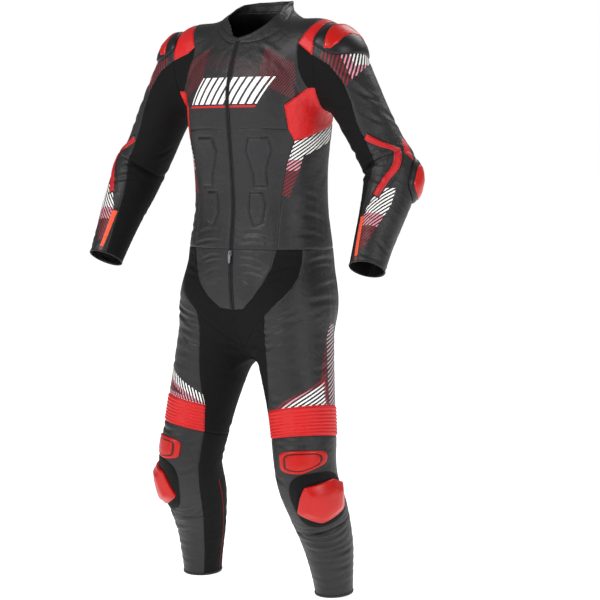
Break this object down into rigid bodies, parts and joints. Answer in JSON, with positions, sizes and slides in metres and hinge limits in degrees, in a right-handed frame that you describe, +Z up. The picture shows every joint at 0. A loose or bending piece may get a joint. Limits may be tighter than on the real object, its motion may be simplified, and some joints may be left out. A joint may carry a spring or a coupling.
{
  "type": "motorcycle race suit",
  "caption": "Two-piece leather motorcycle race suit in its worn form, with stand collar, front zip, shoulder and elbow cups, ribbed knee bands and knee sliders.",
  "frame": {"origin": "between the shoulders at the base of the neck, where the wearer's shoulders carry the suit", "axes": "+Z up; the front faces -Y; the wearer's left is +X"},
  "size_m": [0.9168, 0.3185, 1.4701],
  "materials": {
    "black_leather": "satin grain",
    "stretch_cloth": "matte knit",
    "red_leather": "satin grain",
    "zip_cloth": "matte tape with moulded teeth",
    "black_plastic": "satin",
    "red_plastic": "smooth"
  },
  "bodies": {
    "suit": {"chest_left": "black_leather", "chest_right": "black_leather", "abdomen_left": "black_leather", "abdomen_right": "black_leather", "side_lower_left": "black_leather", "side_lower_right": "black_leather", "sleeve_outer_left": "black_leather", "sleeve_outer_right": "black_leather", "forearm_outer_left": "black_leather", "forearm_outer_right": "black_leather", "rise_left": "black_leather", "rise_right": "black_leather", "thigh_left": "black_leather", "thigh_right": "black_leather", "seat_left": "black_leather", "seat_right": "black_leather", "knee_left": "black_leather", "knee_right": "black_leather", "shin_left": "black_leather", "shin_right": "black_leather", "back_upper": "black_leather", "back_lower": "black_leather", "collar": "black_leather", "front_stretch_left": "stretch_cloth", "front_stretch_right": "stretch_cloth", "sleeve_inner_left": "stretch_cloth", "sleeve_inner_right": "stretch_cloth", "forearm_inner_left": "stretch_cloth", "forearm_inner_right": "stretch_cloth", "hip_stretch_left": "stretch_cloth", "hip_stretch_right": "stretch_cloth", "fork_stretch_left": "stretch_cloth", "fork_stretch_right": "stretch_cloth", "inner_leg_left": "stretch_cloth", "inner_leg_right": "stretch_cloth", "calf_left": "stretch_cloth", "calf_right": "stretch_cloth", "shoulder_strap_left": "red_leather", "shoulder_strap_right": "red_leather", "side_red_left": "red_leather", "side_red_right": "red_leather", "knee_band_left": "red_leather", "knee_band_right": "red_leather", "jacket_zip": "zip_cloth", "trouser_zip": "zip_cloth", "shoulder_cup_left": "black_plastic", "shoulder_cup_right": "black_plastic", "elbow_cup_left": "red_plastic", "elbow_cup_right": "red_plastic", "knee_plate_left": "red_plastic", "knee_plate_right": "red_plastic", "knee_slider_left": "red_plastic", "knee_slider_right": "red_plastic", "zip_slider": "black_plastic"},
    "pull": {"zip_pull": "black_plastic"}
  },
  "joints": [
    {"name": "zip_pull_hinge", "type": "hinge", "parent": "suit", "child": "pull", "pos_m": [0, -0.13914, -0.56594], "axis": [-1, 0, 0], "range_deg": [0, 110]}
  ]
}
